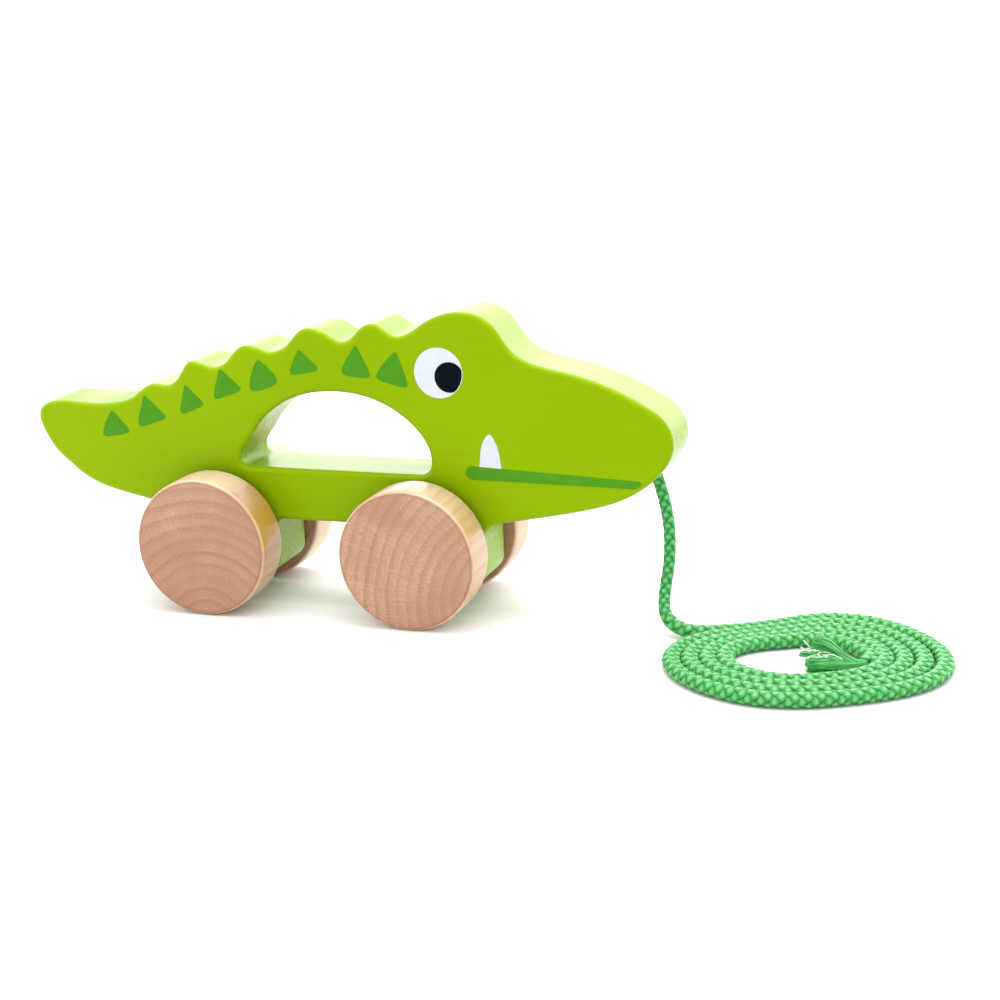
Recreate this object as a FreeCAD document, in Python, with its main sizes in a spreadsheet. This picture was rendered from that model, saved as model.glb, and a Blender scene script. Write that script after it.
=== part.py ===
import FreeCAD
import Part
import Sketcher
import math
import os

# Wooden pull-along crocodile: one profiled board on two wheelsets, with printed features and
# a braided pull cord that hangs from the jaw and lies coiled on the floor.
#
# Frame, in millimetres: X runs from the tail to the snout, Y to the toy's left, Z up.
# The floor is Z = 0 and the origin lies on it, under the middle of the board.

V = FreeCAD.Vector
FULL_TURN = 360.0
LEAST_CUT = 1.0  # mm3; a cut that removes less has missed the solid
ON_FACE = 0.001

# ---------------------------------------------------------------- driving dimensions

SHEET = "driving_dimensions"

DIMENSIONS = [
    # alias, value, meaning
    ("board_length", 241.0, "tail tip to snout tip"),
    ("back_height", 76.6, "top of the brow above the belly line"),
    ("board_thickness", 24.0, "across the board"),
    ("edge_rounding", 1.8, "radius along both faces' edges"),
    ("wheelbase", 78.25, "rear axle to front axle"),
    ("rear_axle_setback", 47.5, "rear axle behind the middle of the board"),
    ("wheel_diameter", 50.0, "across a wheel"),
    ("wheel_width", 16.0, "along the axle"),
    ("wheel_rounding", 1.7, "radius on a wheel's rim edges"),
    ("wheel_clearance", 3.0, "board face to wheel"),
    ("axle_diameter", 8.0, "dowel"),
    ("axle_running_clearance", 0.08, "radial, dowel in the board's bore"),
    ("axle_socket_depth", 11.0, "blind socket in a wheel"),
    ("axle_chamfer", 0.5, "on a dowel's ends"),
    ("belly_over_axle", 6.6, "belly line above the axle line"),
    ("foot_half_width", 21.5, "foot face from the axle line"),
    ("foot_shoulder_drop", 11.5, "start of the foot's bevel below the axle line"),
    ("ground_clearance", 4.0, "sole above the floor"),
    ("toe_half_width", 5.2, "flat of the sole from the axle line"),
    ("foot_corner_radius", 6.0, "on a foot's shoulders"),
    ("toe_radius", 12.0, "between bevel and sole"),
    ("belly_blend_radius", 3.0, "between belly and feet"),
    ("jaw_blend_radius", 8.0, "between jaw and front foot"),
    ("handle_length", 73.0, "opening for a hand"),
    ("handle_height", 28.4, "opening for a hand"),
    ("handle_setback", 2.0, "middle of the opening behind the middle of the board"),
    ("handle_sill_height", 19.0, "sill above the belly line"),
    ("handle_rear_radius", 3.0, "sill to the arch, towards the tail"),
    ("handle_front_radius", 4.5, "sill to the arch, towards the head"),
    ("cord_diameter", 4.3, "round braided cord"),
    ("cord_hole_clearance", 0.2, "radial, cord in its glued hole"),
    ("print_thickness", 0.12, "film of paint on the faces"),
    ("eye_diameter", 17.6, "white of the eye"),
    ("pupil_diameter", 10.6, "dark of the eye"),
    ("eye_rim", 0.3, "white left between the pupil and its edge"),
]

doc = FreeCAD.newDocument("pull_along_crocodile")
sheet = doc.addObject("Spreadsheet::Sheet", SHEET)
for row, (alias, number, meaning) in enumerate(DIMENSIONS, start=1):
    sheet.set(f"A{row}", meaning)
    sheet.set(f"B{row}", str(number))
    sheet.setAlias(f"B{row}", alias)
doc.recompute()


def size(alias):
    """A driving dimension's value."""
    return float(sheet.get(alias))


def cell(text):
    """An expression in which each word in braces is a driving dimension."""
    return text.replace("{", SHEET + ".").replace("}", "")


axle_height = size("wheel_diameter") / 2
rear_axle_x = -size("rear_axle_setback")
front_axle_x = rear_axle_x + size("wheelbase")
belly_z = axle_height + size("belly_over_axle")
tail_x = -size("board_length") / 2
snout_x = size("board_length") / 2

# The axles' places along the board, as expressions.
AXLE_X = {"rear": "-{rear_axle_setback}", "front": "{wheelbase} - {rear_axle_setback}"}

# ---------------------------------------------------------------- the drawn pattern

# The outline is drawn on a pattern of its own, measured from the tail tip and from the belly
# line, and stretched to the board's length and height.
PATTERN_LENGTH = 241.0
PATTERN_HEIGHT = 76.6
PATTERN_REAR_FOOT = 51.5
PATTERN_FRONT_FOOT = 172.75

TAIL_UNDERSIDE = [
    (38.0, 5.6), (28.0, 7.9), (18.0, 11.9), (11.0, 17.1), (6.0, 21.7), (3.0, 26.2), (0.5, 31.9),
]
TAIL_TIP = [(0.1, 34.2), (1.8, 38.2), (6.0, 40.0), (12.0, 40.5), (25.0, 39.9), (34.0, 40.9)]
CRESTS = [
    [(39.0, 42.4), (45.5, 46.9), (48.5, 48.0)],
    [(54.5, 47.7), (58.0, 49.5), (60.5, 52.7), (63.6, 56.4), (69.0, 56.0)],
    [(74.0, 54.9), (78.0, 56.4), (83.5, 61.9), (86.0, 62.9), (92.0, 62.0)],
    [(95.5, 61.0), (99.0, 61.5), (103.0, 63.9), (108.6, 69.2), (113.0, 69.6), (118.0, 67.7)],
    [(123.5, 65.2), (126.0, 65.8), (131.0, 70.3), (135.8, 71.8), (139.0, 70.2)],
]
BROW = [
    (143.5, 67.7), (147.0, 68.1), (153.0, 71.8), (160.0, 75.3), (168.0, 76.6), (175.0, 75.0), (180.0, 70.9),
]
SNOUT = [
    (185.0, 63.9), (189.0, 61.0), (203.0, 57.1), (223.0, 50.7), (231.0, 46.6), (237.4, 42.2), (240.6, 36.4),
]
JAW = [(240.8, 31.4), (238.0, 25.3), (232.7, 19.6), (225.0, 14.4), (211.0, 9.4), (194.0, 5.7)]

# The tail's underside and the jaw run into their feet along a short straight: its outer end,
# and its end at the foot.
TAIL_STRAIGHT = [(45.7, 3.9), (PATTERN_REAR_FOOT, 2.4)]
JAW_STRAIGHT = [(182.6, 3.5), (PATTERN_FRONT_FOOT, 1.6)]

# The smooth curve round the tail, back, head and jaw is drawn as this many spans.
BACK_SPANS = 12

# The handle opening's arch, from the middle of its sill, on a pattern of its own.
HANDLE_PATTERN_LENGTH = 73.0
HANDLE_PATTERN_HEIGHT = 28.4
HANDLE_ARCH = [
    (-36.5, 4.2), (-36.2, 5.2), (-34.0, 8.4), (-29.8, 14.5), (-23.3, 20.9), (-14.0, 26.0), (0.5, 28.4),
    (13.0, 27.0), (24.5, 21.9), (32.5, 14.8), (36.0, 8.4), (36.4, 6.0),
]

# Printed scales under the crests: tip, lower rear corner, lower front corner, and how far the
# sides bulge, as a share of their length.
SCALES = [
    [(31.0, 37.4), (27.2, 28.4), (37.8, 30.2), 0.07],
    [(45.0, 43.5), (42.4, 32.6), (53.2, 35.9), 0.05],
    [(62.0, 48.1), (60.0, 37.7), (68.8, 41.4), 0.05],
    [(76.2, 54.2), (74.0, 43.8), (84.2, 47.4), 0.05],
    [(91.5, 57.9), (88.5, 47.3), (98.6, 50.7), 0.11],
    [(107.5, 61.8), (104.2, 53.7), (114.6, 55.6), 0.06],
    [(129.0, 64.0), (124.0, 54.4), (133.8, 53.4), 0.07],
    [(143.5, 62.2), (136.7, 53.4), (147.6, 50.4), 0.07],
]
EYE_CENTRE = (159.5, 55.6)
PUPIL_CENTRE = (163.4, 54.2)
TOOTH_BASE = [173.0, 181.0]
TOOTH_ARCH = [(173.6, 28.6), (175.1, 33.0), (176.9, 34.8), (178.7, 32.8), (180.2, 28.4)]
MOUTH_CORNERS = [(168.0, 23.4), (168.0, 18.6), (228.4, 18.1), (231.4, 20.7)]
MOUTH_RADII = [2.2, 2.2, 0.5, 0.9]
TOOTH_GAP = 0.05

pattern_x = size("board_length") / PATTERN_LENGTH
pattern_z = size("back_height") / PATTERN_HEIGHT


def on_board(point):
    """A pattern point as X, Z on the board."""
    return V(tail_x + point[0] * pattern_x, belly_z + point[1] * pattern_z)


def on_tail_underside(point):
    """As on_board, with the pattern stretched between the tail tip and the rear foot."""
    run = rear_axle_x - size("foot_half_width") - tail_x
    return V(tail_x + point[0] * run / PATTERN_REAR_FOOT, on_board(point).y)


def on_jaw(point):
    """As on_board, with the pattern stretched between the front foot and the snout tip."""
    run = snout_x - front_axle_x - size("foot_half_width")
    drawn_run = PATTERN_LENGTH - PATTERN_FRONT_FOOT
    return V(snout_x - (PATTERN_LENGTH - point[0]) * run / drawn_run, on_board(point).y)


# ---------------------------------------------------------------- drawing helpers

def spline(points, start_direction=None, end_direction=None):
    """A smooth curve through the points, with set directions at its ends."""
    curve = Part.BSplineCurve()
    if start_direction is None:
        curve.interpolate(Points=points)
    else:
        curve.interpolate(Points=points, InitialTangent=start_direction, FinalTangent=end_direction)
    return curve


def split_curve(curve, count):
    """The same curve as that many spans, end to end."""
    step = (curve.LastParameter - curve.FirstParameter) / count
    spans = []
    for i in range(count):
        span = curve.copy()
        span.segment(curve.FirstParameter + i * step, curve.FirstParameter + (i + 1) * step)
        spans.append(span)
    return spans


def closed_spline(points):
    curve = Part.BSplineCurve()
    curve.interpolate(Points=points, PeriodicFlag=True)
    return curve


def corner_arc(before, corner, after, radius):
    """The arc that rounds a corner between two straight lines."""
    back = (before - corner).normalize()
    ahead = (after - corner).normalize()
    half = back.getAngle(ahead) / 2
    start = corner + back * (radius / math.tan(half))
    end = corner + ahead * (radius / math.tan(half))
    middle_way = (back + ahead).normalize()
    middle = corner + middle_way * (radius / math.sin(half) - radius)
    return Part.Arc(start, middle, end)


def rounded_path(points, radii, closed=False):
    """Straight lines through the points with the given radius at each inner point."""
    count = len(points)
    arcs = []
    for i, radius in enumerate(radii):
        if radius:
            arcs.append(corner_arc(points[i - 1], points[i], points[(i + 1) % count], radius))
        else:
            arcs.append(None)
    pieces = []
    for i in range(count if closed else count - 1):
        j = (i + 1) % count
        start = arcs[i].EndPoint if arcs[i] else points[i]
        end = arcs[j].StartPoint if arcs[j] else points[j]
        pieces.append(Part.LineSegment(start, end))
        if arcs[j]:
            pieces.append(arcs[j])
    return pieces


def new_body(name):
    body = doc.addObject("PartDesign::Body", name)
    body.Label = name
    body.AllowCompound = True
    return body


def new_sketch(body, name, plane_role, geometry):
    """A sketch on one of the body's own origin planes."""
    sketch = body.newObject("Sketcher::SketchObject", name)
    plane = [f for f in body.Origin.OriginFeatures if f.Role == plane_role][0]
    sketch.AttachmentSupport = [(plane, "")]
    sketch.MapMode = "FlatFace"
    sketch.addGeometry(geometry, False)
    return sketch


def circle_sketch(body, name, plane_role, diameter_expression):
    """A circle about the sketch's origin, its diameter bound to the sheet."""
    circle = Part.Circle(V(0, 0, 0), V(0, 0, 1), 1.0)
    sketch = new_sketch(body, name, plane_role, [circle])
    sketch.addConstraint(Sketcher.Constraint("Coincident", 0, 3, -1, 1))
    sketch.addConstraint(Sketcher.Constraint("Diameter", 0, 2.0))
    sketch.setExpression("Constraints[1]", cell(diameter_expression))
    return sketch


def pad(body, name, sketch, length_expression, both_sides=False, downward=False):
    feature = body.newObject("PartDesign::Pad", name)
    feature.Profile = sketch
    feature.SideType = "Symmetric" if both_sides else "One side"
    feature.Reversed = downward
    feature.setExpression("Length", cell(length_expression))
    return feature


def cut(body, name, sketch, length_expression=None, upward=False):
    """A pocket: through everything both ways, or a set depth one way."""
    before = body.Shape.Volume
    feature = body.newObject("PartDesign::Pocket", name)
    feature.Profile = sketch
    if length_expression:
        feature.Reversed = upward
        feature.setExpression("Length", cell(length_expression))
    else:
        feature.Type = "ThroughAll"
        feature.SideType = "Symmetric"
    doc.recompute()
    if body.Shape.Volume > before - LEAST_CUT:
        raise RuntimeError(f"{name} cuts nothing")
    return feature


def break_edges(body, name, kind, edges, setting, expression):
    """A Fillet or a Chamfer on named edges of the body as it stands."""
    base = body.Tip
    feature = body.newObject(f"PartDesign::{kind}", name)
    feature.Base = (base, edges)
    feature.setExpression(setting, cell(expression))
    body.Tip = feature
    doc.recompute()
    return feature


def round_edges(shape):
    """Names of the full circles among a shape's edges."""
    return [f"Edge{i}" for i, edge in enumerate(shape.Edges, start=1) if len(edge.Vertexes) == 1]


# ---------------------------------------------------------------- the board

def foot_path(axle_x):
    """Corners and radii around one foot, from its front face to its rear face."""
    half = size("foot_half_width")
    toe = size("toe_half_width")
    shoulder_z = axle_height - size("foot_shoulder_drop")
    sole_z = size("ground_clearance")
    corners = [
        V(axle_x + half, shoulder_z), V(axle_x + toe, sole_z),
        V(axle_x - toe, sole_z), V(axle_x - half, shoulder_z),
    ]
    shoulder = size("foot_corner_radius")
    sole = size("toe_radius")
    return corners, [shoulder, sole, sole, shoulder]


def board_outline():
    """Tail, back, head and jaw as one smooth curve, then the feet and the belly."""
    half = size("foot_half_width")
    blend = size("belly_blend_radius")

    tail_start, tail_root = [on_tail_underside(p) for p in TAIL_STRAIGHT]
    jaw_end, jaw_root = [on_jaw(p) for p in JAW_STRAIGHT]

    points = [tail_start]
    points += [on_tail_underside(p) for p in TAIL_UNDERSIDE]
    points += [on_board(p) for p in TAIL_TIP]
    for crest in CRESTS:
        points += [on_board(p) for p in crest]
    points += [on_board(p) for p in BROW + SNOUT]
    points += [on_jaw(p) for p in JAW]
    points.append(jaw_end)
    back = spline(points, tail_start - tail_root, jaw_root - jaw_end)

    front_corners, front_radii = foot_path(front_axle_x)
    rear_corners, rear_radii = foot_path(rear_axle_x)
    belly = [V(front_axle_x - half, belly_z), V(rear_axle_x + half, belly_z)]
    corners = [jaw_end, jaw_root] + front_corners + belly + rear_corners + [tail_root, tail_start]
    radii = [0, size("jaw_blend_radius")] + front_radii + [blend, blend] + rear_radii + [blend, 0]
    return split_curve(back, BACK_SPANS) + rounded_path(corners, radii)


def handle_outline():
    """An uneven arch over a flat sill, which its ends meet in round corners."""
    middle_x = -size("handle_setback")
    sill_z = belly_z + size("handle_sill_height")
    stretch_x = size("handle_length") / HANDLE_PATTERN_LENGTH
    stretch_z = size("handle_height") / HANDLE_PATTERN_HEIGHT
    arch = spline([V(middle_x + x * stretch_x, sill_z + z * stretch_z) for x, z in HANDLE_ARCH])
    ends = []
    for place in (arch.LastParameter, arch.FirstParameter):
        end = arch.value(place)
        way = arch.tangent(place)[0]
        ends += [end, end - way * ((end.y - sill_z) / way.y)]
    front, front_corner, rear, rear_corner = ends
    radii = [0, size("handle_front_radius"), size("handle_rear_radius"), 0]
    return [arch] + rounded_path([front, front_corner, rear_corner, rear], radii)


def face_edges(shape, half_thickness):
    """Names of the edges that lie in the board's two faces."""
    names = []
    for number, edge in enumerate(shape.Edges, start=1):
        middle = edge.valueAt((edge.FirstParameter + edge.LastParameter) / 2)
        if abs(abs(middle.y) - half_thickness) < ON_FACE:
            names.append(f"Edge{number}")
    return names


def make_board():
    body = new_body("body_board")
    outline = new_sketch(body, "board_outline", "XZ_Plane", board_outline())
    pad(body, "board_pad", outline, "{board_thickness}", both_sides=True)
    doc.recompute()
    opening = new_sketch(body, "handle_outline", "XZ_Plane", handle_outline())
    cut(body, "handle_opening", opening)
    edges = face_edges(body.Shape, size("board_thickness") / 2)
    break_edges(body, "rounded_edges", "Fillet", edges, "Radius", "{edge_rounding}")

    bore_diameter = "{axle_diameter} + 2 * {axle_running_clearance}"
    for end, place in AXLE_X.items():
        bore = circle_sketch(body, f"{end}_bore_circle", "XZ_Plane", bore_diameter)
        bore.setExpression(".AttachmentOffset.Base.x", cell(place))
        bore.setExpression(".AttachmentOffset.Base.y", cell("{wheel_diameter} / 2"))
        cut(body, f"{end}_axle_bore", bore)

    # The cord's blind hole is turned about the cord's own first straight stretch.
    seat, mouth = CORD_ROUTE[0], CORD_ROUTE[1]
    depth = (mouth - seat).Length
    lean = math.degrees(math.atan2(mouth.x - seat.x, seat.z - mouth.z))
    corners = [V(0, 0), V(1, 0), V(1, -depth), V(0, -depth)]
    sides = [Part.LineSegment(corners[i], corners[(i + 1) % 4]) for i in range(4)]
    hole = new_sketch(body, "cord_hole_half", "XZ_Plane", sides)
    turned = FreeCAD.Rotation(V(0, 0, 1), lean)
    hole.AttachmentOffset = FreeCAD.Placement(V(seat.x, seat.z, 0), turned)
    for i in range(4):
        hole.addConstraint(Sketcher.Constraint("Coincident", i, 2, (i + 1) % 4, 1))
    hole.addConstraint(Sketcher.Constraint("Coincident", 0, 1, -1, 1))
    hole.addConstraint(Sketcher.Constraint("Horizontal", 0))
    hole.addConstraint(Sketcher.Constraint("Vertical", 1))
    hole.addConstraint(Sketcher.Constraint("Horizontal", 2))
    hole.addConstraint(Sketcher.Constraint("Vertical", 3))
    hole.addConstraint(Sketcher.Constraint("DistanceY", 1, 2, 1, 1, depth))
    radius_row = hole.addConstraint(Sketcher.Constraint("DistanceX", 0, 1, 0, 2, 1.0))
    hole.setExpression(f"Constraints[{radius_row}]", cell("{cord_diameter} / 2 + {cord_hole_clearance}"))
    before = body.Shape.Volume
    groove = body.newObject("PartDesign::Groove", "cord_hole")
    groove.Profile = hole
    groove.ReferenceAxis = (hole, ["V_Axis"])
    groove.Angle = FULL_TURN
    doc.recompute()
    if body.Shape.Volume > before - LEAST_CUT:
        raise RuntimeError("cord_hole cuts nothing")
    return body


# ---------------------------------------------------------------- wheelsets

# Turns the local Z axis, along which wheels and axles are drawn, to the toy's left or right.
TO_SIDE = {"left": FreeCAD.Rotation(V(1, 0, 0), -90), "right": FreeCAD.Rotation(V(1, 0, 0), 90)}


def make_axle(end):
    """A dowel that turns in the board and is glued into both wheels."""
    body = new_body(f"{end}_axle")
    length = "{board_thickness} + 2 * {wheel_clearance} + 2 * {axle_socket_depth}"
    section = circle_sketch(body, f"{end}_dowel_circle", "XY_Plane", "{axle_diameter}")
    pad(body, f"{end}_dowel", section, length, both_sides=True)
    doc.recompute()
    break_edges(body, f"{end}_dowel_ends", "Chamfer", round_edges(body.Shape), "Size", "{axle_chamfer}")
    body.Placement = FreeCAD.Placement(V(0, 0, 0), TO_SIDE["left"])
    body.setExpression(".Placement.Base.x", cell(AXLE_X[end]))
    body.setExpression(".Placement.Base.z", cell("{wheel_diameter} / 2"))
    return body


def make_wheel(end, side):
    """A turned disc with a blind socket in its inner face."""
    name = f"{end}_{side}_wheel"
    body = new_body(name)
    disc = circle_sketch(body, f"{name}_circle", "XY_Plane", "{wheel_diameter}")
    pad(body, f"{name}_disc", disc, "{wheel_width}")
    doc.recompute()
    break_edges(body, f"{name}_rims", "Fillet", round_edges(body.Shape), "Radius", "{wheel_rounding}")
    socket = circle_sketch(body, f"{name}_socket_circle", "XY_Plane", "{axle_diameter}")
    cut(body, f"{name}_socket", socket, "{axle_socket_depth}", upward=True)
    body.Placement = FreeCAD.Placement(V(0, 0, 0), TO_SIDE[side])
    sign = "" if side == "left" else "-"
    body.setExpression(".Placement.Base.x", cell(AXLE_X[end]))
    body.setExpression(".Placement.Base.y", cell(sign + "({board_thickness} / 2 + {wheel_clearance})"))
    body.setExpression(".Placement.Base.z", cell("{wheel_diameter} / 2"))
    return body


# ---------------------------------------------------------------- printed features

def scale_outline(tip, rear, front, bulge):
    """A soft triangle through its three corners and three bulging side middles."""
    corners = [on_board(p) for p in (tip, rear, front)]
    centre = (corners[0] + corners[1] + corners[2]) * (1 / 3)
    points = []
    for i in range(3):
        start, end = corners[i], corners[(i + 1) % 3]
        middle = (start + end) * 0.5
        outward = (middle - centre).normalize()
        points += [start, middle + outward * (bulge * (end - start).Length)]
    return closed_spline(points)


def pupil_outline():
    """A circle cut off along the rim of the white, as two arcs."""
    eye = on_board(EYE_CENTRE)
    pupil = on_board(PUPIL_CENTRE)
    rim_radius = size("eye_diameter") / 2 - size("eye_rim")
    pupil_radius = size("pupil_diameter") / 2
    apart = (pupil - eye).Length
    way = (pupil - eye).normalize()
    across = V(-way.y, way.x)
    along = (apart ** 2 + rim_radius ** 2 - pupil_radius ** 2) / (2 * apart)
    if apart + pupil_radius <= rim_radius:
        return [Part.Circle(pupil, V(0, 0, 1), pupil_radius)]
    half_chord = math.sqrt(rim_radius ** 2 - along ** 2)
    upper = eye + way * along + across * half_chord
    lower = eye + way * along - across * half_chord
    return [
        Part.Arc(upper, pupil - way * pupil_radius, lower),
        Part.Arc(lower, eye + way * rim_radius, upper),
    ]


def mouth_top(x):
    """Pattern height of the mouth line's upper edge."""
    (rear_x, rear_z), (front_x, front_z) = MOUTH_CORNERS[0], MOUTH_CORNERS[-1]
    return rear_z + (front_z - rear_z) * (x - rear_x) / (front_x - rear_x)


def tooth_outline():
    """An arch that stands just clear of the mouth line."""
    rear, front = [on_board((x, mouth_top(x) + TOOTH_GAP)) for x in TOOTH_BASE]
    arch = [on_board(p) for p in TOOTH_ARCH]
    return [spline([rear] + arch + [front]), Part.LineSegment(front, rear)]


def mouth_outline():
    return rounded_path([on_board(p) for p in MOUTH_CORNERS], MOUTH_RADII, closed=True)


def eye_outline():
    return [Part.Circle(on_board(EYE_CENTRE), V(0, 0, 1), size("eye_diameter") / 2)]


PRINTS = {
    # feature: (outline, films of paint below it)
    "back_scales": ([scale_outline(*scale) for scale in SCALES], 0),
    "eye_white": (eye_outline(), 0),
    "eye_pupil": (pupil_outline(), 1),
    "tooth": (tooth_outline(), 0),
    "mouth_line": (mouth_outline(), 0),
}


def make_print(side, feature):
    """One printed feature: a film that lies on the board's face, or on the film below it."""
    outline, below = PRINTS[feature]
    body = new_body(f"{side}_{feature}")
    sketch = new_sketch(body, f"{side}_{feature}_outline", "XZ_Plane", outline)
    sign = "" if side == "right" else "-"
    distance = "{board_thickness} / 2 + " + str(below) + " * {print_thickness}"
    sketch.setExpression(".AttachmentOffset.Base.z", cell(f"{sign}({distance})"))
    pad(body, f"{side}_{feature}_film", sketch, "{print_thickness}", downward=(side == "left"))
    return body


# ---------------------------------------------------------------- pull cord

# The cord hangs from a blind hole in the jaw, bends over at the floor and lies in a spiral.
# Its coil is an oval with uneven waves, wound clockwise and inwards as seen from above.
COIL_CENTRE = V(168.5, -32.0, 0)
COIL_MEAN_RADIUS = 42.2
COIL_WAVES = [(1, 3.07, -102.0), (2, 5.56, 25.0), (3, 1.47, -41.0), (4, 1.55, -4.0)]
COIL_SHRINK = 0.145
COIL_EASE = 0.002
COIL_START = 148.0
COIL_TURNS = 4.30
# Near the object its turns are gathered about this one, by so much for each turn away from it.
COIL_GATHER = 1.2
GATHERED_TURN = 2.15
POINTS_PER_TURN = 24
CORD_FLOOR = 2.2

# Corners of the hanging stretch, from the bottom of its hole to the floor.
CORD_ROUTE = [
    V(109.4, 0.0, 59.0), V(113.4, 0.0, 48.0), V(116.2, -0.5, 35.0), V(116.6, -2.1, 22.5),
    V(115.5, -6.4, 12.0), V(116.9, -12.9, 6.4), V(122.7, -16.7, 2.9), V(130.5, -16.6, CORD_FLOOR),
]
ARC_SHARE = 0.45


def coil_point(angle, height):
    """A point on the spiral; the angle counts down from COIL_START in degrees."""
    turns = (90 - angle) / FULL_TURN
    swell = 0
    for wave, depth, peak in COIL_WAVES:
        swell += depth * math.cos(math.radians(wave * (angle - peak)))
    radius = (COIL_MEAN_RADIUS + swell) * (1 - COIL_SHRINK * turns + COIL_EASE * turns ** 2)
    nearness = ((1 - math.cos(math.radians(angle))) / 2) ** 2
    radius += COIL_GATHER * (turns - GATHERED_TURN) * nearness
    way = V(math.cos(math.radians(angle)), math.sin(math.radians(angle)))
    return COIL_CENTRE + way * radius + V(0, 0, height)


def make_cord():
    """The hanging stretch: straight runs joined by tangent arcs, with a round section."""
    corners = CORD_ROUTE + [coil_point(COIL_START, CORD_FLOOR)]
    radii = []
    for before, corner, after in zip(corners, corners[1:], corners[2:]):
        turn = math.pi - (before - corner).getAngle(after - corner)
        shorter = min((before - corner).Length, (after - corner).Length)
        radii.append(ARC_SHARE * shorter / math.tan(turn / 2))
    print("cord arc radii:", [round(radius, 1) for radius in radii])
    pieces = rounded_path(corners, [0] + radii + [0])
    path = Part.Wire([piece.toShape() for piece in pieces])
    radius = size("cord_diameter") / 2
    section = Part.Wire([Part.Circle(corners[0], corners[1] - corners[0], radius).toShape()])
    tube = path.makePipeShell([section], True, True)
    expected = math.pi * radius ** 2 * path.Length
    print(f"cord tube: length {path.Length:.1f}, volume {tube.Volume:.0f}, section x length {expected:.0f}")
    feature = doc.addObject("Part::Feature", "pull_cord")
    feature.Label = "pull_cord"
    feature.Shape = tube
    feature.Placement = FreeCAD.Placement(V(0, 0, 0), FreeCAD.Rotation())
    return feature


def coil_loop(first_angle, outward):
    """One turn of the spiral from first_angle, moved outward by a distance, as a closed curve."""
    points = []
    for i in range(POINTS_PER_TURN):
        point = coil_point(first_angle - i * FULL_TURN / POINTS_PER_TURN, 0)
        way = (point - COIL_CENTRE).normalize()
        points.append(V(point.x, point.y) + way * outward)
    return closed_spline(points)


def make_coil():
    """The outer shape of the coiled cord: a flat ring from the floor up."""
    body = new_body("cord_coil")
    half = size("cord_diameter") / 2
    last_turn = COIL_START - FULL_TURN * (COIL_TURNS - 1)
    loops = [coil_loop(COIL_START, half), coil_loop(last_turn, -half)]
    outline = new_sketch(body, "coil_outline", "XY_Plane", loops)
    outline.AttachmentOffset = FreeCAD.Placement(V(0, 0, CORD_FLOOR - half), FreeCAD.Rotation())
    pad(body, "coil_ring", outline, "{cord_diameter}")
    return body


# The frayed end lies inside the coil and fans out towards the tail.
FRAY_OUTLINE = [
    V(185.4, -32.0), V(190.4, -33.0), V(189.4, -38.0), V(184.0, -41.0), V(177.0, -42.2), V(170.0, -42.4),
    V(167.6, -40.0), V(167.2, -36.0), V(169.0, -32.4), V(174.0, -31.6), V(180.0, -32.2),
]
FRAY_FLOOR = 0.3
FRAY_HEIGHT = 6.0


def make_frayed_end():
    body = new_body("cord_frayed_end")
    outline = new_sketch(body, "fray_outline", "XY_Plane", [closed_spline(FRAY_OUTLINE)])
    outline.AttachmentOffset = FreeCAD.Placement(V(0, 0, FRAY_FLOOR), FreeCAD.Rotation())
    pad(body, "fray_tuft", outline, str(FRAY_HEIGHT))
    return body


# ---------------------------------------------------------------- build, check, write

parts = [make_board()]
for end in ("rear", "front"):
    parts.append(make_axle(end))
    for side in ("left", "right"):
        parts.append(make_wheel(end, side))
for side in ("left", "right"):
    for feature in PRINTS:
        parts.append(make_print(side, feature))
parts += [make_cord(), make_coil(), make_frayed_end()]
doc.recompute()

for thing in doc.Objects:
    if "Invalid" in thing.State or "Error" in thing.State:
        raise RuntimeError(f"{thing.Label} failed: {thing.State}")
for part in parts:
    if part.Shape.isNull() or not part.Shape.isValid() or not part.Shape.Solids:
        raise RuntimeError(f"{part.Label} has no valid solid")

os.makedirs("parts", exist_ok=True)
for part in parts:
    part.Shape.exportStep(f"parts/{part.Label}.step")
    box = part.Shape.BoundBox
    print(f"{part.Label}: {len(part.Shape.Solids)} solid(s), {part.Shape.Volume:.0f} mm3,"
          f" X {box.XMin:.1f}..{box.XMax:.1f} Y {box.YMin:.1f}..{box.YMax:.1f} Z {box.ZMin:.1f}..{box.ZMax:.1f}")
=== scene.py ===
import math
import random

import bmesh
import bpy
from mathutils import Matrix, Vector


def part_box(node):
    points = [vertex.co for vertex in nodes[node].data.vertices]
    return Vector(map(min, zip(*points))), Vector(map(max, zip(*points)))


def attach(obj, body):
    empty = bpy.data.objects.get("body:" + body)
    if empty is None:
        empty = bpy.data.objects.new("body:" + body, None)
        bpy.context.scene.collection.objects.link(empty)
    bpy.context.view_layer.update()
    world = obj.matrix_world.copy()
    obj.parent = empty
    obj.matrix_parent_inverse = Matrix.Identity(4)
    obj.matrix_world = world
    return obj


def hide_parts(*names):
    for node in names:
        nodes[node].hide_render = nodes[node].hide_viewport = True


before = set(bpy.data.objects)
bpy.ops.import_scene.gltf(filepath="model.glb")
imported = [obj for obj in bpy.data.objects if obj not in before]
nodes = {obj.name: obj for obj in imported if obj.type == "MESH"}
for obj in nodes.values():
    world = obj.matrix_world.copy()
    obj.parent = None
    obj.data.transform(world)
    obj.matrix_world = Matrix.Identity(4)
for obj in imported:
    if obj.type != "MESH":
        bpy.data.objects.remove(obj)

# Looks of the wooden pull-along crocodile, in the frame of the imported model: metres, X from tail
# to snout, Y to the toy's left, Z up, the floor at Z = 0. Sizes are in millimetres where a name
# says so, and in the cord's route and its tuft; place() and MM turn them into metres.

MM = 0.001
FULL_TURN = math.radians(360)
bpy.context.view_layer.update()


def place(x, y, z):
    """A point given in millimetres."""
    return Vector((x, y, z)) * MM


# ------------------------------------------------------------------------------ camera

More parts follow.
